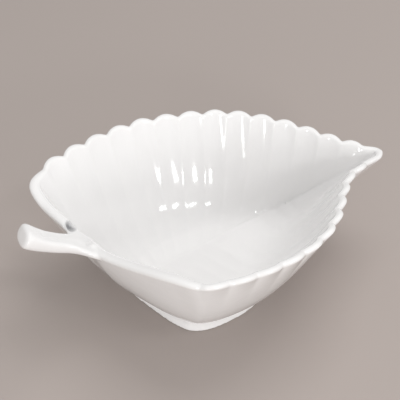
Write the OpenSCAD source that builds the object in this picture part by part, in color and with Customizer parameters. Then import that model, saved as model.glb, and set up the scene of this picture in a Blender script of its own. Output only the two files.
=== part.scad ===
// Leaf shaped porcelain bowl with a scalloped rim, a stem handle and a low leaf shaped foot.
// The leaf lies along X, from the stem at -X to the tip at +X, and rests on its foot at Z = 0.
// The origin is the middle of the whole outline, at the height of the table.

/* [Leaf outline] */
// Length of the leaf from its base edge to its tip
leaf_length = 200; // [160:5:260]
// Width of the leaf across its widest lobes
leaf_width = 168; // [140:4:220]

/* [Height and walls] */
// Height of the scalloped rim's notches above the table
rim_height = 73; // [55:1:95]
// How far the rim dips where the stem leaves it
stem_dip = 13; // [6:0.5:20]
// How far the rim sinks at the tip
tip_dip = 8; // [2:0.5:14]
// Thickness of the scalloped rim
rim_thickness = 4.6; // [3.6:0.1:6]
// Thickness of the smooth rolled edges beside the stem
roll_thickness = 7; // [5:0.1:9]
// Thickness of the porcelain floor
floor_thickness = 5; // [3.5:0.1:8]

/* [Flutes] */
// Full lobes on the long far side
far_lobes = 14; // [8:1:15]
// Full lobes on the short near side
near_lobes = 11; // [6:1:12]
// How far a lobe bulges out between two notches
lobe_bulge = 2.5; // [1:0.1:3.5]
// How far a lobe rises above its notches
lobe_rise = 2; // [0.5:0.1:3]
// Depth that the flutes keep as veins down the wall
vein_depth = 0.8; // [0.2:0.1:1.4]
// Height of the midrib above the floor
midrib_height = 1.2; // [0.4:0.1:2]

/* [Foot] */
// Height of the foot ring
foot_height = 9; // [6:0.5:14]
// Width of the foot ring where it meets the bowl
foot_width = 6; // [4:0.5:9]
// How far the foot spreads at the table
foot_spread = 1.6; // [0.4:0.1:3]
// Roundness of the foot's lower edges
foot_round = 1; // [0.4:0.1:1.5]

/* [Stem handle] */
// Reach of the stem beyond the base edge
stem_length = 31; // [20:1:45]
// Width of the stem
stem_width = 16; // [12:0.5:20]
// Width of the stem where it grows out of the base edge
root_width = 29; // [22:1:34]
// Thickness of the stem
stem_depth = 12.5; // [9:0.5:14]
// How far the stem's end stands above the dip of the rim
stem_climb = 14; // [6:1:24]
// Depth of the channel along the top of the stem
stem_channel = 1.6; // [0.4:0.1:2.6]

/* [Hidden] */

// The rim through its notches, from the stem to the tip, as shares of length and width
far_shares = [[-0.478, -0.006], [-0.495, 0.089], [-0.509, 0.202], [-0.4925, 0.289],
    [-0.429, 0.3225], [-0.30, 0.351], [-0.175, 0.355], [-0.05, 0.337], [0.067, 0.280],
    [0.18, 0.1995], [0.2765, 0.0845], [0.3525, -0.042], [0.4345, -0.2255],
    [0.4725, -0.283], [0.501, -0.3214], [0.504, -0.351]];
near_shares = [[-0.478, -0.006], [-0.4655, -0.110], [-0.4415, -0.2935],
    [-0.4175, -0.4345], [-0.384, -0.527], [-0.3085, -0.5745], [-0.20, -0.609],
    [-0.085, -0.621], [0.0205, -0.604], [0.1185, -0.5525], [0.225, -0.463],
    [0.3175, -0.3975], [0.406, -0.378], [0.4725, -0.375], [0.504, -0.351]];
// The midrib in plan, from the stem to the tip
midrib_shares = [[-0.31, -0.068], [-0.10, -0.0715], [0.125, -0.0715], [0.23, -0.083],
    [0.29, -0.125], [0.335, -0.1755], [0.40, -0.262], [0.445, -0.3245], [0.475, -0.342]];
// Share of the climb from the floor to the tip that the midrib has made along the length
rise_shares = [[0.19, 0], [0.25, 0.03], [0.29, 0.13], [0.335, 0.32], [0.40, 0.64],
    [0.445, 0.86], [0.475, 0.95]];
// The foot's outline at the table, and the point that it is measured about
foot_shares = [[-0.332, -0.036], [-0.329, 0.048], [-0.30, 0.113], [-0.225, 0.146],
    [-0.125, 0.152], [-0.025, 0.131], [0.07, 0.077], [0.15, 0], [0.20, -0.083],
    [0.18, -0.167], [0.11, -0.256], [0.025, -0.339], [-0.06, -0.384], [-0.15, -0.391],
    [-0.235, -0.375], [-0.284, -0.342], [-0.306, -0.274], [-0.3225, -0.179]];
foot_centre_share = [-0.14, -0.12];
// Share of the rim's thickness by which its middle lies inside the outline
rim_inset_share = 0.32;

// Which entries of the outline are the last notches before the smooth base edge and tip
far_shoulder = 4;
near_shoulder = 4;
far_tip_notch = 13;
near_tip_notch = 12;

// Mesh counts
curve_steps = 8;
lobe_steps = 6;
edge_steps = 13;
tip_steps = 4;
stem_points = 30;
// Spacing of the lobes, which narrow a little towards the tip
lobe_spacing_share = 1.07;
// How strongly the veins sweep forwards from the midrib
vein_sweep_share = 2.1;

function mix(a, b, t) = a + (b - a) * t;
function clamp(t) = max(0, min(1, t));
function ease(t) = clamp(t) * clamp(t) * (3 - 2 * clamp(t));
function scaled(shares) = [for (p = shares) [p[0] * leaf_length, p[1] * leaf_width]];

// A smooth curve through points
function bend(a, b, c, d, t) = 0.5 * (2 * b + (c - a) * t
    + (2 * a - 5 * b + 4 * c - d) * t * t + (3 * b - a - 3 * c + d) * t * t * t);
function curve(P) = let (e = len(P) - 1)
    [for (i = [0:e - 1], k = [0:curve_steps - 1])
        bend(P[max(0, i - 1)], P[i], P[i + 1], P[min(e, i + 2)], k / curve_steps), P[e]];
function lengths(D) = [for (i = 0, s = 0; i < len(D);
    s = s + (i + 1 < len(D) ? norm(D[i + 1] - D[i]) : 0), i = i + 1) s];
function along(D, L, s) = [lookup(s, [for (i = [0:len(D) - 1]) [L[i], D[i][0]]]),
    lookup(s, [for (i = [0:len(D) - 1]) [L[i], D[i][1]]])];

far_curve = curve(scaled(far_shares));
far_lengths = lengths(far_curve);
near_curve = curve(scaled(near_shares));
near_lengths = lengths(near_curve);
rib_curve = curve(scaled(midrib_shares));
rib_lengths = lengths(rib_curve);

// Columns along one side: distance from the stem, place within the lobe, width of the lobe
function notch(i, n, first, last) = last - (last - first) * pow(i / n, lobe_spacing_share);
function side(L, shoulder, tip_notch, lobes) =
    let (first = L[shoulder * curve_steps], last = L[tip_notch * curve_steps],
        end = L[len(L) - 1])
    concat(
        [for (i = [0:edge_steps - 1]) [first * pow(i / edge_steps, 1.25), 0, 0]],
        [for (k = [lobes:-1:1], q = [0:lobe_steps - 1])
            let (a = notch(k, lobes, first, last), b = notch(k - 1, lobes, first, last))
            [mix(a, b, q / lobe_steps), q / lobe_steps, b - a]],
        [for (i = [0:tip_steps]) [mix(last, end, i / tip_steps), 0, 0]]);

far_side = side(far_lengths, far_shoulder, far_tip_notch, far_lobes);
near_side = side(near_lengths, near_shoulder, near_tip_notch, near_lobes);
far_count = len(far_side);
near_count = len(near_side);
ribs = floor((min(far_count, near_count) - 1) / vein_sweep_share);
lobe_chord = (far_lengths[far_tip_notch * curve_steps]
    - far_lengths[far_shoulder * curve_steps]) / far_lobes;

// The loop of columns goes out along the far side and back along the near side
columns = concat(
    [for (i = [0:far_count - 1]) [far_side[i], i / (far_count - 1), 0]],
    [for (i = [near_count - 2:-1:1]) [near_side[i], i / (near_count - 1), 1]]);
count = len(columns);

outline = [for (c = columns) c[2] == 0 ? along(far_curve, far_lengths, c[0][0])
    : along(near_curve, near_lengths, c[0][0])];
rim_normal = [for (j = [0:count - 1])
    let (t = outline[(j + 3) % count] - outline[(j + count - 3) % count])
    [-t[1], t[0]] / norm(t)];
rib_index = [for (c = columns)
    floor(pow(c[1], vein_sweep_share) * (ribs - 1) + 0.5)];

// How far a column is from the plain scalloped rim, towards the stem and the tip
function to_stem(c) = let (L = c[2] == 0 ? far_lengths[far_shoulder * curve_steps]
    : near_lengths[near_shoulder * curve_steps]) 1 - ease(c[0][0] / L);
function to_tip(c) = let (L = c[2] == 0 ? far_lengths : near_lengths)
    1 - ease((L[len(L) - 1] - c[0][0]) / (0.55 * leaf_length));
lobe_bump = [for (c = columns) 4 * c[0][1] * (1 - c[0][1]) * min(1.1, c[0][2] / lobe_chord)];
rim_level = [for (c = columns) rim_height - stem_dip * to_stem(c) - tip_dip * to_tip(c)];
wall = [for (c = columns) let (L = c[2] == 0 ? far_lengths[far_shoulder * curve_steps]
    : near_lengths[near_shoulder * curve_steps])
    mix(roll_thickness, rim_thickness, ease((c[0][0] / L - 0.75) / 0.35))];

rim_plan = [for (j = [0:count - 1]) outline[j] - rim_normal[j] * rim_inset_share * wall[j]];

floor_level = foot_height + floor_thickness;
tip_level = rim_height - tip_dip;
rib = [for (k = [0:ribs - 1])
    let (p = along(rib_curve, rib_lengths, rib_lengths[len(rib_lengths) - 1] * k / (ribs - 1)))
    [p[0], p[1], mix(floor_level, tip_level, lookup(p[0] / leaf_length, rise_shares))]];

// The foot's outline as a radius about its middle
foot_centre = [foot_centre_share[0] * leaf_length, foot_centre_share[1] * leaf_width];
foot_corners = scaled(foot_shares);
foot_corner_count = len(foot_corners);
foot_curve = [for (i = [0:foot_corner_count - 1], k = [0:curve_steps - 1])
    bend(foot_corners[(i + foot_corner_count - 1) % foot_corner_count], foot_corners[i],
        foot_corners[(i + 1) % foot_corner_count], foot_corners[(i + 2) % foot_corner_count],
        k / curve_steps)];
foot_start = foot_curve[0] - foot_centre;
start_bearing = atan2(foot_start[1], foot_start[0]);
function bearing(p) = let (a = atan2(p[1] - foot_centre[1], p[0] - foot_centre[0]))
    a > start_bearing + 0.000001 ? a - 360 : a;
polar = concat([[start_bearing - 360, norm(foot_start)]],
    [for (j = [len(foot_curve) - 1:-1:0]) [bearing(foot_curve[j]), norm(foot_curve[j] - foot_centre)]]);
function foot_radius(a) = lookup(a, polar);

// How far outside the foot's outline the flat seat under the bowl ends
seat_margin = 0.6 * foot_spread;
rim_pull = 0.19 * leaf_length;
function path(j, s) =
    let (m = rib[rib_index[j]], M = [m[0], m[1]], R = rim_plan[j] - rim_normal[j] * wall[j] / 2,
        F = R - rim_normal[j] * min(rim_pull, 0.45 * norm(R - M)))
    (1 - s) * (1 - s) * M + 2 * s * (1 - s) * F + s * s * R;
function beyond(p) = norm(p - foot_centre) - foot_radius(bearing(p)) - seat_margin;
function crossing(j, a, b, n) = n == 0 ? (a + b) / 2
    : let (h = (a + b) / 2) beyond(path(j, h)) > 0 ? crossing(j, a, h, n - 1)
    : crossing(j, h, b, n - 1);
exact_seat = [for (j = [0:count - 1]) beyond(path(j, 0)) > 0 ? 0 : crossing(j, 0, 1, 12)];
// Beyond the foot the seat dies away over several columns, so that the wall has no step
seat_blend = 10;
function total(list, i = 0, s = 0) = i == len(list) ? s : total(list, i + 1, s + list[i]);
even_seat = [for (j = [0:count - 1]) total([for (k = [-seat_blend:seat_blend])
    exact_seat[(j + k + count) % count]]) / (2 * seat_blend + 1)];
seat = [for (j = [0:count - 1]) max(exact_seat[j], even_seat[j])];

// Inner and outer surface of one column
function ramp(s, from, power) = pow(max(0, (s - from) / (1 - from)), power);
function inner(j, s) =
    let (m = rib[rib_index[j]], n = rim_normal[j], f = seat[j], b = lobe_bump[j],
        full = pow(s, 6), top = rim_level[j],
        p = path(j, s) + n * b * mix(vein_depth * s, lobe_bulge, full),
        ridge = midrib_height * ease(1 - s / 0.1),
        z = mix(m[2], top, ramp(s, 0.7 * f, 1.6 + 0.5 * f)))
    [p[0], p[1], z + (s == 0 ? midrib_height : ridge)
        + b * (lobe_rise * full - 0.5 * vein_depth * (1 - full) * ease(4 * s))];
function outer(j, s) =
    let (m = rib[rib_index[j]], n = rim_normal[j], f = seat[j], b = lobe_bump[j],
        full = pow(s, 9), base = max(foot_height, m[2] - floor_thickness),
        r = ramp(s, f, 1.4), top = rim_level[j] - 0.35 * wall[j],
        p = path(j, s) + n * (wall[j] * ease(1.4 * ramp(s, f, 1)) + b * lobe_bulge * full))
    [p[0], p[1], mix(base, top, r) + b * lobe_rise * full];

// The stem grows out of the bowl through one slanting plane at the base edge
root_lean = 0.5;
root_level = rim_level[0];
root_x = rim_plan[0][0] - wall[0] / 2;
root_y = rim_plan[0][1];
root_depth = 1.15 * stem_depth;
function root_plane(z) = root_x + root_lean * (root_level - z);
patch_half = root_width / 2 + 0.1 * stem_width;
function patch(p) = ease((patch_half + 0.6 * stem_width - abs(p[1] - root_y)) / (0.6 * stem_width))
    * ease((p[2] - root_level + root_depth + 0.6 * stem_depth) / (0.5 * stem_depth));
function on_patch(p, j) = let (near_root = norm([p[0], p[1]] - rim_plan[0]) < 2 * root_width,
    w = near_root ? patch(p) : 0) [mix(p[0], root_plane(p[2]), w), p[1], p[2]];

// Rows of one column: inner wall from the midrib up, rounded lip, outer wall down, seat
inner_rows = [0.05, 0.1, 0.18, 0.28, 0.39, 0.5, 0.6, 0.69, 0.77, 0.84, 0.9, 0.95, 0.985];
outer_rows = [1, 0.94, 0.86, 0.76, 0.64, 0.51, 0.38, 0.26, 0.15, 0.06, 0];
function lip(j, across, up) =
    let (n = rim_normal[j], p = rim_plan[j] + n * (lobe_bump[j] * lobe_bulge + across * wall[j]),
        w = patch([rim_plan[j][0], rim_plan[j][1], root_level]))
    [p[0], p[1], rim_level[j] + lobe_bump[j] * lobe_rise + up * wall[j]];
lip_rows = [[-0.5, 0], [-0.32, 0.24], [0, 0.34], [0.3, 0.2], [0.47, -0.08]];
function seat_from(j) = max(seat[j], 0.06);
function column(j) = concat(
    [for (s = inner_rows) inner(j, s)],
    [for (r = lip_rows) lip(j, r[0], r[1])],
    [for (t = outer_rows) on_patch(outer(j, mix(seat_from(j), 1, t)), j)],
    [outer(j, seat_from(j) / 2)]);
grid = [for (j = [0:count - 1]) column(j)];
rows = len(grid[0]);

bowl_points = concat([for (r = [0:rows - 1], j = [0:count - 1]) grid[j][r]],
    [for (m = rib) [m[0], m[1], m[2] + midrib_height]],
    [for (m = rib) [m[0], m[1], max(foot_height, m[2] - floor_thickness)]]);
function at(r, j) = r * count + j % count;
top_rib = rows * count;
low_rib = top_rib + ribs;
bowl_faces = concat(
    [for (r = [0:rows - 2], j = [0:count - 1]) [at(r, j), at(r + 1, j), at(r, j + 1)]],
    [for (r = [0:rows - 2], j = [0:count - 1]) [at(r, j + 1), at(r + 1, j), at(r + 1, j + 1)]],
    [for (j = [0:count - 1]) [at(0, j), at(0, j + 1), top_rib + rib_index[j]]],
    [for (j = [0:count - 1]) if (rib_index[j] != rib_index[(j + 1) % count])
        [top_rib + rib_index[j], at(0, j + 1), top_rib + rib_index[(j + 1) % count]]],
    [for (j = [0:count - 1]) [at(rows - 1, j + 1), at(rows - 1, j), low_rib + rib_index[j]]],
    [for (j = [0:count - 1]) if (rib_index[j] != rib_index[(j + 1) % count])
        [at(rows - 1, j + 1), low_rib + rib_index[j], low_rib + rib_index[(j + 1) % count]]]);

// The foot ring, as loops that follow the foot's outline
foot_columns = 96;
half_foot = foot_radius(start_bearing);
function foot_loop(in_by, z) = [for (i = [0:foot_columns - 1])
    let (a = start_bearing - 360 * i / foot_columns, r = foot_radius(a) * (1 - in_by / half_foot))
    [foot_centre[0] + r * cos(a), foot_centre[1] + r * sin(a), z]];
foot_loops = [
    foot_loop(foot_round, 0),
    foot_loop(0.3 * foot_round, 0.3 * foot_round),
    foot_loop(0, foot_round),
    foot_loop(0.7 * foot_spread, 0.35 * foot_height),
    foot_loop(foot_spread, 0.65 * foot_height),
    foot_loop(0.8 * foot_spread, 0.88 * foot_height),
    foot_loop(0.3 * foot_spread, foot_height),
    foot_loop(foot_width + foot_spread, foot_height),
    foot_loop(foot_width + 0.4 * foot_spread, foot_round),
    foot_loop(foot_width - foot_round, 0)];
foot_rows = len(foot_loops);
foot_points = [for (l = foot_loops, p = l) p];
function on_foot(r, i) = (r % foot_rows) * foot_columns + i % foot_columns;
foot_faces = concat(
    [for (r = [0:foot_rows - 1], i = [0:foot_columns - 1])
        [on_foot(r, i), on_foot(r, i + 1), on_foot(r + 1, i)]],
    [for (r = [0:foot_rows - 1], i = [0:foot_columns - 1])
        [on_foot(r, i + 1), on_foot(r + 1, i + 1), on_foot(r + 1, i)]]);

// The stem, as loops from the slanting plane out to its rounded end
stem_yaw = 15;
stem_tilt = 30;
start_z = root_level - root_depth / 2 + stem_channel;
stem_start = [root_plane(start_z), root_y, start_z];
stem_knee = stem_start + [-0.5 * stem_length, 0.07 * stem_length, 0.3 * stem_climb];
stem_end = [root_x - stem_length, root_y + 0.26 * stem_length, root_level + stem_climb];
stem_stations = [0, 0.07, 0.15, 0.25, 0.37, 0.5, 0.64, 0.78, 0.9, 1];
function stem_centre(t) = (1 - t) * (1 - t) * stem_start + 2 * t * (1 - t) * stem_knee
    + t * t * stem_end;
function stem_wide(t) = mix(root_width, stem_width, ease(t / 0.45)) + 0.12 * stem_width
    * ease((t - 0.6) / 0.4);
function stem_thick(t) = mix(root_depth, stem_depth, ease(t / 0.5)) + 0.22 * stem_depth
    * ease((t - 0.6) / 0.4);
function stem_loop(t, size, push) =
    let (c = stem_centre(t), a = stem_yaw * ease(t), e = mix(-atan(root_lean), stem_tilt, ease(t)),
        aside = [sin(a), cos(a), 0], up = [sin(e) * cos(a), -sin(e) * sin(a), cos(e)] / cos(
        mix(atan(root_lean), 0, ease(t))), out = [-cos(e) * cos(a), cos(e) * sin(a), sin(e)])
    [for (i = [0:stem_points - 1])
        let (q = 360 * i / stem_points, high = max(0, sin(q)),
            w = size * stem_wide(t) / 2 * cos(q),
            h = size * (stem_thick(t) / 2 * sin(q) - stem_channel * high * high * high))
        c + aside * w + up * h + out * push];
stem_loops = concat([for (t = stem_stations) stem_loop(t, 1, 0)],
    [stem_loop(1, 0.95, 0.07 * stem_depth), stem_loop(1, 0.8, 0.12 * stem_depth)]);
stem_rows = len(stem_loops);
stem_tip = stem_centre(1) + [-cos(stem_tilt), 0, sin(stem_tilt)] * 0.13 * stem_depth;
stem_cap = stem_rows * stem_points;
stem_vertices = concat([for (l = stem_loops, p = l) p], [stem_start, stem_tip]);
function on_stem(r, i) = r * stem_points + i % stem_points;
stem_faces = concat(
    [for (r = [0:stem_rows - 2], i = [0:stem_points - 1])
        [on_stem(r, i), on_stem(r, i + 1), on_stem(r + 1, i)]],
    [for (r = [0:stem_rows - 2], i = [0:stem_points - 1])
        [on_stem(r, i + 1), on_stem(r + 1, i + 1), on_stem(r + 1, i)]],
    [for (i = [0:stem_points - 1]) [on_stem(0, i + 1), on_stem(0, i), stem_cap]],
    [for (i = [0:stem_points - 1])
        [on_stem(stem_rows - 1, i), on_stem(stem_rows - 1, i + 1), stem_cap + 1]]);

// The whole outline is centred on the origin
reach_x = [for (p = concat(bowl_points, stem_vertices)) p[0]];
reach_y = [for (p = bowl_points) p[1]];
centring = [-(min(reach_x) + max(reach_x)) / 2, -(min(reach_y) + max(reach_y)) / 2, 0];
echo(centring = centring, low = [min(reach_x), min(reach_y)], high = [max(reach_x), max(reach_y)],
    top = max([for (p = stem_vertices) p[2]]), columns = count, rows = rows,
    triangles = len(bowl_faces));

// The bowl: floor with its midrib, fluted wall, scalloped rim and rolled base edges
module leaf_bowl() {
    color("white")
        translate(centring)
            polyhedron(points = bowl_points, faces = bowl_faces, convexity = 6);
}

// The low foot under the floor
module foot_ring() {
    color("white")
        translate(centring)
            polyhedron(points = foot_points, faces = foot_faces, convexity = 4);
}

// The stem that serves as the handle
module stem_handle() {
    color("white")
        translate(centring)
            polyhedron(points = stem_vertices, faces = stem_faces, convexity = 4);
}

leaf_bowl();
foot_ring();
stem_handle();
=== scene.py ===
import math

import bpy
import numpy as np
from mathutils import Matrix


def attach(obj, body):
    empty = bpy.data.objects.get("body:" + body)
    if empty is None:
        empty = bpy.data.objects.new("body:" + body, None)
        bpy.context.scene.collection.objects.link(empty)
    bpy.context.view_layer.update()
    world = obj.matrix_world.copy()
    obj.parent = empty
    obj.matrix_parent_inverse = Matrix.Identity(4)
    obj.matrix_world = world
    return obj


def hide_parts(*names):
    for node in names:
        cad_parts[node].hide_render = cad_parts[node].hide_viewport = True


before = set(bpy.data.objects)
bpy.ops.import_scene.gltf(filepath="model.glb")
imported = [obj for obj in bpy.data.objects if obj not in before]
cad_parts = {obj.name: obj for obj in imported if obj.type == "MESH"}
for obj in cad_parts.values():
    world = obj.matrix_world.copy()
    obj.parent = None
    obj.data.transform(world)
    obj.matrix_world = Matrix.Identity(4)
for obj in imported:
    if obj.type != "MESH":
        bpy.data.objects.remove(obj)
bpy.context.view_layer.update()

# Leaf shaped bowl with its stem handle and foot
# One casting of white porcelain under a clear glaze: a floor with a raised midrib, a fluted wall
# that ends in a scalloped rim, smooth rolled base edges, a stem and a low foot, all fired together.
# The body is drawn column by column round the rim in millimetres and then fused with the stem.
rim_height = 73.0
stem_dip = 13.0
near_sag_depth = 4.2
tip_dip = 8.0
tip_dip_reach = 110.0
rim_thick = 4.6
roll_thick = 7.0
lip_inset_share = 0.32
lip_rise_share = 0.36
lobe_bulge = 2.6
lobe_rise = 2.1
lobe_pitch = 16.3
lobe_taper = 1.07
vein_depth = 0.42
midrib_rise = 0.55
midrib_width = 3.0
floor_height = 14.0
foot_height = 9.0
foot_width = 6.0
recess_height = 8.5
recess_slope = 2.2
# From the leaf's own middle to the middle of the whole outline
to_middle = np.array([15.603, 22.136, 0.0])
# The rim's notches and the foot below them, from the stem round to the tip
far_rim = [(-95.6, -1), (-99, 15), (-101.8, 34), (-98.5, 48.5), (-85.8, 54.2), (-60, 59), (-35, 59.6),
           (-10, 56.6), (13.4, 47), (36, 33.5), (55.3, 14.2), (70.5, -7), (86.9, -37.9),
           (94.5, -47.5), (100.2, -54), (100.8, -59)]
far_foot = [(-66.5, -5), (-66.2, 5), (-63, 15), (-59, 19.5), (-53, 22), (-43, 24.3), (-28, 25.5),
            (-9, 23), (6, 17.5), (18, 10), (28, 1.5), (35, -5.5), (39, -11.5),
            (40, -13.5), (40.3, -14.8), (40.4, -16)]
near_rim = [(-95.6, -1), (-94.8, -18.5), (-89.3, -49.3), (-83.5, -73), (-76.8, -88.5), (-61.7, -96.5),
            (-40, -102.3), (-17, -104.3), (4.1, -101.5), (23.7, -92.8), (45, -77.8), (63.5, -66.8),
            (81.2, -63.5), (94.5, -63), (100.8, -59)]
near_foot = [(-66.5, -5), (-66, -15), (-63.5, -38), (-61, -49), (-57, -57), (-47, -62.8),
             (-31, -65.5), (-14, -65), (0, -60), (12, -51.5), (23, -41), (32, -30),
             (38, -21.5), (40, -18), (40.4, -16)]
midrib = [(-62, -11.4), (-20, -12), (25, -12), (46, -14), (58, -21), (67, -29.5), (80, -44),
          (89, -54.5), (95, -57.5)]
midrib_x = [38, 50, 58, 67, 80, 89, 95]
midrib_climb = [0, 0.03, 0.13, 0.32, 0.64, 0.86, 0.95]


def ease(t):
    t = np.clip(t, 0, 1)
    return t * t * (3 - 2 * t)


def bend(points, u):
    p = np.array(points, float)
    i = np.clip(np.floor(u).astype(int), 0, len(p) - 2)
    f = (u - i)[:, None]
    a, b = p[np.maximum(i - 1, 0)], p[i]
    c, d = p[i + 1], p[np.minimum(i + 2, len(p) - 1)]
    return 0.5 * (2 * b + (c - a) * f + (2 * a - 5 * b + 4 * c - d) * f**2
                  + (3 * b - a - 3 * c + d) * f**3)


# Columns in the smooth base edge, in each lobe and in the tip, and how much of the midrib each takes
edge_columns, edge_part = 48, 13
lobe_columns, lobe_part = 14, 6
tip_columns, tip_part = 12, 4


def leaf_side(rim, foot, side, shoulder, tip_notch, lobes):
    u = np.linspace(0, len(rim) - 1, 4000)
    steps = np.linalg.norm(np.diff(bend(rim, u), axis=0), axis=1)
    arc = np.concatenate([[0], np.cumsum(steps)])
    first, last, end = np.interp([shoulder, tip_notch, len(rim) - 1], u, arc)
    columns = [(first * q**1.25, 0, 0, edge_part * q) for q in np.arange(edge_columns) / edge_columns]
    for k in range(lobes, 0, -1):
        a, b = (last - (last - first) * ((k - i) / lobes) ** lobe_taper for i in (0, 1))
        columns += [(a + (b - a) * q, q, b - a, edge_part + lobe_part * (lobes - k + q))
                    for q in np.arange(lobe_columns) / lobe_columns]
    lobes_end = edge_part + lobe_part * lobes
    columns += [(last + (end - last) * q, 0, 0, lobes_end + tip_part * q)
                for q in np.arange(tip_columns + 1) / tip_columns]
    s, phase, chord, share = np.array(columns).T
    share /= lobes_end + tip_part
    at = np.interp(s, arc, u)
    bump = 4 * phase * (1 - phase) * np.minimum(1.1, chord / lobe_pitch)
    return dict(rim=bend(rim, at), foot=bend(foot, at), bump=bump, share=share,
                base=s / first, to_tip=end - s, side=np.full(len(s), side))


far = leaf_side(far_rim, far_foot, 1.0, shoulder=4, tip_notch=13, lobes=14)
near = leaf_side(near_rim, near_foot, -1.0, shoulder=4, tip_notch=12, lobes=11)
loop = {k: np.concatenate([far[k], near[k][-2:0:-1]]) for k in far}
count = len(loop["share"])
run = np.roll(loop["rim"], -4, 0) - np.roll(loop["rim"], 4, 0)
normal = np.stack([-run[:, 1], run[:, 0]], 1) / np.linalg.norm(run, axis=1)[:, None]
smooth_edge = 1 - ease(loop["base"])
# Where the stem leaves, the rim lies open so that the floor of the bowl runs out along the stem
mouth_y, mouth_half, mouth_dip = 2.0, 8.0, 2.0
mouth = ease(1.55 - np.abs(loop["rim"][:, 1] - mouth_y) / mouth_half) * (loop["base"] < 0.6)
wall = rim_thick + (roll_thick - rim_thick) * (1 - ease((loop["base"] - 0.75) / 0.35))
# The rim drops to the stem and to the tip, and sags on the near side of the stem
level = rim_height - stem_dip * smooth_edge - tip_dip * (1 - ease(loop["to_tip"] / tip_dip_reach))
near_sag = np.where(loop["side"] < 0, ease(loop["base"] / 0.16) * smooth_edge ** 0.7, 0)
level = level - mouth_dip * mouth - near_sag_depth * near_sag
bump = loop["bump"]
rim = loop["rim"] - normal * (lip_inset_share * wall)[:, None]

# The midrib that the columns spring from, closer together at the stem's end
crowding = 2.1
rib_line = bend(midrib, np.linspace(0, len(midrib) - 1, 2000))
rib_arc = np.concatenate([[0], np.cumsum(np.linalg.norm(np.diff(rib_line, axis=0), axis=1))])
where = loop["share"] ** crowding * rib_arc[-1]
root = np.stack([np.interp(where, rib_arc, rib_line[:, i]) for i in (0, 1)], 1)
root_z = floor_height + (rim_height - tip_dip - floor_height) * np.interp(
    root[:, 0], midrib_x, midrib_climb, left=0)

# How far along each column the flat floor reaches before the wall rises
knee_reach, knee_share = 38.0, 0.45
foot_middle = np.array([-28.0, -20.2])
around = loop["foot"] - foot_middle
bearing = np.unwrap(np.arctan2(around[:, 1], around[:, 0]))
order = np.argsort(bearing)
radius = np.linalg.norm(around, axis=1)
inside = rim - normal * (wall / 2)[:, None]
pull = np.minimum(knee_reach, knee_share * np.linalg.norm(inside - root, axis=1))
knee = inside - normal * pull[:, None]


def inner_path(s):
    return (1 - s) ** 2 * root + 2 * s * (1 - s) * knee + s * s * inside


floor_reach = np.zeros(count)
for s in np.linspace(0, 0.9, 181):
    p = inner_path(s) - foot_middle
    b = np.arctan2(p[:, 1], p[:, 0])
    b = bearing.min() + np.mod(b - bearing.min(), 2 * math.pi)
    r = np.interp(b, bearing[order], radius[order])
    floor_reach = np.where(np.linalg.norm(p, axis=1) < r + 1, s, floor_reach)
kernel = np.exp(-0.5 * (np.arange(-60, 61) / 22.0) ** 2)
kernel /= kernel.sum()
floor_reach = sum(w * np.roll(floor_reach, k) for w, k in zip(kernel, range(-60, 61)))

# The inside: from the midrib over the floor and up the fluted wall, where the flutes grow into lobes
flat_share = 0.45
inner_shares = np.concatenate([np.linspace(0, 0.1, 8), np.linspace(0.13, 0.82, 26),
                               np.linspace(0.84, 1, 12)])
rows = []
for s in inner_shares:
    full = s**7
    p = inner_path(s) + normal * (bump * (vein_depth * s * (1 - full) + lobe_bulge * full))[:, None]
    risen = np.clip((s - flat_share * floor_reach) / (1 - flat_share * floor_reach), 0, 1)
    climb = risen ** (1.65 + 1.1 * floor_reach)
    from_rib = np.linalg.norm(inner_path(s) - root, axis=1)
    z = root_z + (level - root_z) * climb + midrib_rise * np.exp(-((from_rib / midrib_width) ** 2))
    z += bump * (lobe_rise * full - 0.55 * vein_depth * (1 - full) * ease(5 * s))
    rows.append(np.column_stack([p, z]))
# The rounded lip, lower and flatter where the stem leaves
for a in np.linspace(0, math.pi, 14)[1:-1]:
    across = -0.5 * math.cos(a) * wall
    up = lip_rise_share * math.sin(a) * wall * (1 - mouth)
    p = rim + normal * (bump * lobe_bulge + across)[:, None]
    rows.append(np.column_stack([p, level + bump * lobe_rise + up]))
# The outer wall comes down to the foot
outside = rim + normal * (wall / 2)[:, None]
foot_out = loop["foot"] - foot_middle
foot_out /= np.linalg.norm(foot_out, axis=1)[:, None]
hip_inset = 0.6
hip = loop["foot"] - foot_out * hip_inset
span = np.linalg.norm(outside - hip, axis=1)
reach = np.minimum(0.55 * span, 0.8 * np.linalg.norm(outside - root, axis=1))
waist = outside - normal * reach[:, None]
# Towards the tip the wall gathers into a keel that follows the midrib
keel_middle = np.array([67.5, -26.5])
keel = ease((loop["share"] - 0.86) / 0.12)[:, None]
waist = waist * (1 - keel) + keel_middle * keel
# How steeply the wall turns up to the rim, chosen all round so that it keeps clear of the inside
far_steep = np.interp(loop["share"], [0, 0.1, 0.3, 0.6, 0.7, 0.75, 0.8, 0.85, 0.9, 0.97, 1],
                      [1.9, 1.6, 1.65, 1.7, 2.2, 2.8, 4.1, 3.2, 2.3, 2.1, 2.0])
near_steep = np.interp(loop["share"], [0, 0.06, 0.1, 0.3, 0.8, 0.86, 0.9, 0.97, 1],
                       [1.95, 1.95, 1.5, 1.65, 1.8, 2.1, 2.2, 2.3, 2.0])
steep = np.where(loop["side"] > 0, far_steep, near_steep)
steep = sum(w * np.roll(steep, k) for w, k in zip(kernel[40:81] / kernel[40:81].sum(), range(-20, 21)))
for t in 1 - np.linspace(0, 1, 46) ** 1.15:
    full = t**9
    p = (1 - t) ** 2 * hip + 2 * t * (1 - t) * waist + t * t * outside
    p = p + normal * (bump * lobe_bulge * full)[:, None]
    z = foot_height + (level - foot_height) * t**steep + bump * lobe_rise * full
    rows.append(np.column_stack([p, z]))
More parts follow.
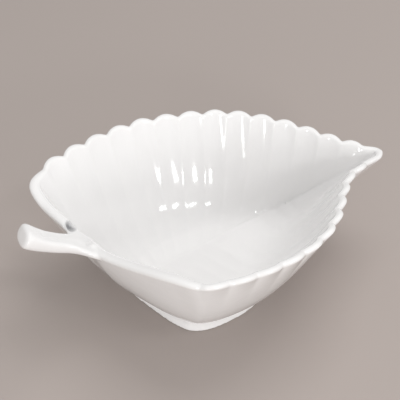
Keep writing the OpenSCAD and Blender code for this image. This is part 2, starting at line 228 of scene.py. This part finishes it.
# The foot: its outer face hollows a little and spreads at the table
for inset, z in [(1.1, 8.2), (1.5, 6.9), (1.5, 5.4), (1.2, 4.0), (0.7, 2.6), (0.15, 1.4), (0.0, 0.8),
                 (0.25, 0.25), (0.9, 0.0), (foot_width - 1.2, 0.0), (foot_width - 0.4, 0.3),
                 (foot_width, 1.0), (foot_width + 0.4, 4.0), (foot_width + 1.0, 7.4),
                 (foot_width + recess_slope, 8.4)]:
    rows.append(np.column_stack([loop["foot"] - foot_out * inset, np.full(count, z)]))
recess = loop["foot"] - foot_out * (foot_width + recess_slope)
for k in (0.75, 0.5, 0.25, 0.04):
    ring_inside = foot_middle + (recess - foot_middle) * k
    rows.append(np.column_stack([ring_inside, np.full(count, recess_height)]))
points = np.concatenate(rows)
faces = []
for r in range(len(rows) - 1):
    for j in range(count):
        k = (j + 1) % count
        faces.append((r * count + j, (r + 1) * count + j, (r + 1) * count + k, r * count + k))
last_row = (len(rows) - 1) * count
points = np.concatenate([points, [[*foot_middle, recess_height]]])
faces += [(last_row + j, len(points) - 1, last_row + (j + 1) % count) for j in range(count)]

# The stem swings up and out of the base edge, flares on the near side where it leaves the wall, and
# has a shallow channel along its top
stem_start = np.array([-91.5, 1.0, 54.4])
stem_knee = np.array([-110, 0.5, 60.8])
stem_end = np.array([-127.2, 8.0, 73.4])
stem_swing, stem_lean_start, stem_lean_end = 14, -20, 32
stem_half = 7.4
near_flare, far_flare = 16.0, 1.2
stem_thick = 11.2
channel_depth = 2.3
corner = 0.85
ring = 40
turn = np.linspace(0, 2 * math.pi, ring, endpoint=False)
x = np.sign(np.cos(turn)) * np.abs(np.cos(turn)) ** corner
y = np.sign(np.sin(turn)) * np.abs(np.sin(turn)) ** corner
stem_rows = []
for t in np.linspace(0, 1, 26):
    c = (1 - t) ** 2 * stem_start + 2 * t * (1 - t) * stem_knee + t * t * stem_end
    yaw = math.radians(stem_swing) * float(ease(t))
    tilt = math.radians(stem_lean_start + (stem_lean_end - stem_lean_start) * float(ease(t)))
    aside = np.array([math.sin(yaw), math.cos(yaw), 0])
    up = np.array([math.sin(tilt) * math.cos(yaw), -math.sin(tilt) * math.sin(yaw), math.cos(tilt)])
    end_swell = float(ease((t - 0.62) / 0.38))
    near_half = stem_half + near_flare * float(ease(1 - t / 0.5)) ** 1.6 + end_swell
    far_half = stem_half + far_flare * float(ease(1 - t / 0.25)) + end_swell
    flare = float(ease(1 - t / 0.42)) ** 1.5
    thick = stem_thick + 1.7 * end_swell
    channel = channel_depth * (1 - 0.75 * float(ease((t - 0.7) / 0.3)))
    w = np.where(x > 0, far_half, near_half) * x
    h = thick / 2 * y - channel * np.clip(y, 0, 1) * (1 - x**2) ** 1.5
    h = np.where((x < 0) & (y < 0), h * (1 - 0.55 * flare * np.abs(x)), h)
    stem_rows.append(c + w[:, None] * aside + h[:, None] * up)
# The blunt end is rounded over in four small steps
yaw, tilt = math.radians(stem_swing), math.radians(stem_lean_end)
out = np.array([-math.cos(tilt) * math.cos(yaw), math.cos(tilt) * math.sin(yaw), math.sin(tilt)])
end_row = stem_rows[-1]
centre = end_row.mean(0)
for shrink, push in [(0.96, 0.7), (0.86, 1.3), (0.66, 1.7), (0.35, 1.8)]:
    stem_rows.append(centre + (end_row - centre) * shrink + out * push)
stem_points = np.concatenate(stem_rows + [[stem_rows[0].mean(0)], [centre + out * 1.85]])
base = len(points)
for r in range(len(stem_rows) - 1):
    for j in range(ring):
        k = (j + 1) % ring
        faces.append((base + r * ring + j, base + r * ring + k, base + (r + 1) * ring + k,
                      base + (r + 1) * ring + j))
first_cap, last_cap = base + len(stem_rows) * ring, base + len(stem_rows) * ring + 1
faces += [(base + (j + 1) % ring, base + j, first_cap) for j in range(ring)]
tail = base + (len(stem_rows) - 1) * ring
faces += [(tail + j, tail + (j + 1) % ring, last_cap) for j in range(ring)]
points = np.concatenate([points, stem_points])

# Body and stem are fused into one skin and softened, as the casting is under its glaze
mm = 0.001
drawn = bpy.data.meshes.new("leaf_bowl_drawn")
drawn.from_pydata(((points + to_middle) * mm).tolist(), [], faces)
drawn.validate()
bowl = bpy.data.objects.new("porcelain_leaf_bowl", drawn)
bpy.context.collection.objects.link(bowl)
fuse = bowl.modifiers.new("fuse", "REMESH")
fuse.mode = "VOXEL"
fuse.voxel_size = 0.75 * mm
soften = bowl.modifiers.new("soften", "SMOOTH")
soften.factor = 0.5
soften.iterations = 7
fused = bpy.data.meshes.new_from_object(bowl.evaluated_get(bpy.context.evaluated_depsgraph_get()))
bowl.modifiers.clear()
bowl.data = fused
fused.name = "porcelain_leaf_bowl"
bpy.data.meshes.remove(drawn)

# A small dark pit where the far rolled edge runs against the stem: a dent, and painted shade over it,
# a grey that stands in for the crevice's shadow
pit_radius, pit_depth = 3.6 * mm, 3.4 * mm
pit = (np.array([-95.0, 11.4, 61.0]) + to_middle) * mm
skin = np.empty(len(fused.vertices) * 3)
fused.vertices.foreach_get("co", skin)
skin = skin.reshape(-1, 3)
facing = np.empty(len(fused.vertices) * 3)
fused.vertex_normals.foreach_get("vector", facing)
facing = facing.reshape(-1, 3)
away = np.linalg.norm((skin - pit) * [1, 1, 0.7], axis=1) / pit_radius
dent = np.clip(1 - away**2, 0, 1) ** 1.2
skin -= facing * (pit_depth * dent)[:, None]
fused.vertices.foreach_set("co", skin.ravel())
fused.update()
fused.polygons.foreach_set("use_smooth", np.ones(len(fused.polygons), bool))
# Weights for the pit's painted shade, strongest at its middle
crevice_shade_paint_layer = fused.attributes.new("painted_crevice_shade", "FLOAT", "POINT")
crevice_shade_paint_layer.data.foreach_set("value", np.clip(1.15 - away, 0, 1) ** 0.7)

# The glaze's own small unevenness: a slow ripple and a fine orange peel
ripple = bpy.data.node_groups.new("glaze_unevenness", "ShaderNodeTree")
ripple.interface.new_socket("Strength", in_out="INPUT", socket_type="NodeSocketFloat")
ripple.interface.new_socket("Normal", in_out="OUTPUT", socket_type="NodeSocketVector")
r_in, r_out = ripple.nodes.new("NodeGroupInput"), ripple.nodes.new("NodeGroupOutput")
r_place = ripple.nodes.new("ShaderNodeTexCoord")
r_slow, r_fine = ripple.nodes.new("ShaderNodeTexNoise"), ripple.nodes.new("ShaderNodeTexNoise")
r_slow.inputs["Scale"].default_value = 55
r_slow.inputs["Detail"].default_value = 2
r_fine.inputs["Scale"].default_value = 420
r_fine.inputs["Detail"].default_value = 3
r_mix = ripple.nodes.new("ShaderNodeMath")
r_mix.operation = "MULTIPLY_ADD"
r_mix.inputs[1].default_value = 0.12
r_bump = ripple.nodes.new("ShaderNodeBump")
r_bump.inputs["Distance"].default_value = 0.0006
link = ripple.links.new
link(r_place.outputs["Object"], r_slow.inputs["Vector"])
link(r_place.outputs["Object"], r_fine.inputs["Vector"])
link(r_fine.outputs["Fac"], r_mix.inputs[0])
link(r_slow.outputs["Fac"], r_mix.inputs[2])
link(r_mix.outputs[0], r_bump.inputs["Height"])
link(r_in.outputs["Strength"], r_bump.inputs["Strength"])
link(r_bump.outputs["Normal"], r_out.inputs["Normal"])

# White porcelain under clear glaze, a little darker in concave hollows, bare and matt
# on the foot's edge, and with grey painted shade in the pit for the crevice's shadow
warm_white, cool_white = (0.845, 0.835, 0.83, 1), (0.875, 0.868, 0.865, 1)
# The pit's grey is painted shade for the shadow in the crevice, not a colour of the porcelain
bare_clay, crevice_shade_paint_colour = (0.62, 0.59, 0.54, 1), (0.3, 0.3, 0.31, 1)
glaze = bpy.data.materials.new("white_glazed_porcelain")
glaze.use_nodes = True
nt = glaze.node_tree
body = nt.nodes["Principled BSDF"]
body.inputs["IOR"].default_value = 1.52
body.inputs["Coat Weight"].default_value = 0.35
body.inputs["Coat Roughness"].default_value = 0.04
place = nt.nodes.new("ShaderNodeTexCoord")
cloud = nt.nodes.new("ShaderNodeTexNoise")
cloud.inputs["Scale"].default_value = 22
cloud.inputs["Detail"].default_value = 4
tint = nt.nodes.new("ShaderNodeMix")
tint.data_type = "RGBA"
tint.inputs[6].default_value = warm_white
tint.inputs[7].default_value = cool_white
shape = nt.nodes.new("ShaderNodeNewGeometry")
# Up to about five percent darker where the surface is concave, by pointiness
hollow_dim = nt.nodes.new("ShaderNodeMapRange")
hollow_dim.inputs["From Min"].default_value = 0.44
hollow_dim.inputs["From Max"].default_value = 0.5
hollow_dim.inputs["To Min"].default_value = 0.955
hollow_dim.inputs["To Max"].default_value = 1.0
hollow_dimmed_white = nt.nodes.new("ShaderNodeVectorMath")
hollow_dimmed_white.operation = "SCALE"
height = nt.nodes.new("ShaderNodeSeparateXYZ")
bare = nt.nodes.new("ShaderNodeMapRange")
bare.inputs["From Min"].default_value = 0.55 * mm
bare.inputs["From Max"].default_value = 0.35 * mm
bisque = nt.nodes.new("ShaderNodeMix")
bisque.data_type = "RGBA"
bisque.inputs[7].default_value = bare_clay
# Painted shade in the pit, read from the weights stored on the mesh
painted_crevice_shade = nt.nodes.new("ShaderNodeAttribute")
painted_crevice_shade.attribute_name = "painted_crevice_shade"
crevice_shade_paint_mix = nt.nodes.new("ShaderNodeMix")
crevice_shade_paint_mix.data_type = "RGBA"
crevice_shade_paint_mix.inputs[7].default_value = crevice_shade_paint_colour
shine = nt.nodes.new("ShaderNodeMix")
shine.data_type = "FLOAT"
shine.inputs[3].default_value = 0.75
smear = nt.nodes.new("ShaderNodeMapRange")
smear.inputs["To Min"].default_value = 0.07
smear.inputs["To Max"].default_value = 0.14
uneven = nt.nodes.new("ShaderNodeGroup")
uneven.node_tree = ripple
uneven.inputs["Strength"].default_value = 0.35
link = nt.links.new
link(place.outputs["Object"], cloud.inputs["Vector"])
link(cloud.outputs["Fac"], tint.inputs[0])
link(shape.outputs["Pointiness"], hollow_dim.inputs["Value"])
link(tint.outputs[2], hollow_dimmed_white.inputs[0])
link(hollow_dim.outputs["Result"], hollow_dimmed_white.inputs["Scale"])
link(place.outputs["Object"], height.inputs["Vector"])
link(height.outputs["Z"], bare.inputs["Value"])
link(bare.outputs["Result"], bisque.inputs[0])
link(hollow_dimmed_white.outputs["Vector"], bisque.inputs[6])
link(painted_crevice_shade.outputs["Fac"], crevice_shade_paint_mix.inputs[0])
link(bisque.outputs[2], crevice_shade_paint_mix.inputs[6])
link(crevice_shade_paint_mix.outputs[2], body.inputs["Base Color"])
link(cloud.outputs["Fac"], smear.inputs["Value"])
link(bare.outputs["Result"], shine.inputs[0])
link(smear.outputs["Result"], shine.inputs[2])
link(shine.outputs[0], body.inputs["Roughness"])
link(uneven.outputs["Normal"], body.inputs["Normal"])
bowl.data.materials.append(glaze)
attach(bowl, "root")
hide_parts("leaf_bowl", "foot_ring", "stem_handle")

# Table top under the bowl
# A plain matt surface in a warm grey, only there to take the bowl's shadow.
bpy.ops.mesh.primitive_plane_add(size=6, location=(0, 0, 0))
table = bpy.context.active_object
table.name = "studio_floor"
cloth = bpy.data.materials.new("plain_matt_floor")
cloth.use_nodes = True
matt = cloth.node_tree.nodes["Principled BSDF"]
matt.inputs["Roughness"].default_value = 0.75
matt.inputs["Specular IOR Level"].default_value = 0.2
grain = cloth.node_tree.nodes.new("ShaderNodeTexNoise")
grain.inputs["Scale"].default_value = 3
shade = cloth.node_tree.nodes.new("ShaderNodeMix")
shade.data_type = "RGBA"
shade.inputs[6].default_value = (0.42, 0.37, 0.345, 1)
shade.inputs[7].default_value = (0.46, 0.405, 0.38, 1)
cloth.node_tree.links.new(grain.outputs["Fac"], shade.inputs[0])
cloth.node_tree.links.new(shade.outputs[2], matt.inputs["Base Color"])
table.data.materials.append(cloth)

# Soft studio light: a large key overhead and to the right, a wide low fill from the front, and
# three small windows. Of these lamps, only the windows are mirrored in the glaze.
for name, where_to, aim, size, power in [
    ("key", (0.45, 0.1, 1.15), (0, 0, 0.03), (0.8, 0.8), 5.6),
    ("left_tall", (-0.95, -0.5, 0.2), (0, 0, 0.04), (0.12, 0.4), 1.7),
    ("low_fill", (-0.65, -1.15, 0.22), (0, 0, 0.05), (1.3, 0.4), 5.0),
    ("front_window", (-0.27, -0.9, 0.44), (0, 0, 0.04), (0.1, 0.13), 1.2),
    ("upper_window", (0.04, -0.62, 0.8), (0, 0, 0.04), (0.16, 0.09), 0.7),
]:
    lamp = bpy.data.lights.new(name, "AREA")
    lamp.shape = "RECTANGLE"
    lamp.size, lamp.size_y = size
    lamp.energy = power
    stand = bpy.data.objects.new(name, lamp)
    bpy.context.collection.objects.link(stand)
    stand.location = where_to
    stand.visible_glossy = name not in ("key", "low_fill")
    gaze = np.array(where_to) - np.array(aim)
    stand.rotation_euler = (math.atan2(math.hypot(gaze[0], gaze[1]), gaze[2]), 0,
                            math.atan2(gaze[1], gaze[0]) + math.pi / 2)

# Even light from all round, as from the walls of a pale room
world = bpy.data.worlds.new("studio")
bpy.context.scene.world = world
world.use_nodes = True
world.node_tree.nodes["Background"].inputs[0].default_value = (1.0, 0.99, 0.98, 1)
world.node_tree.nodes["Background"].inputs[1].default_value = 0.58

# Camera at the photo's place, looking down on the bowl from the near left
eye = bpy.data.cameras.new("camera")
eye.lens = 84.6
eye.sensor_width = 36
camera = bpy.data.objects.new("camera", eye)
bpy.context.collection.objects.link(camera)
camera.location = (-0.2905, -0.3452, 0.4266)
camera.rotation_euler = (math.radians(51), 0, math.radians(-39.4))
bpy.context.scene.camera = camera
bpy.context.scene.view_settings.view_transform = "Standard"
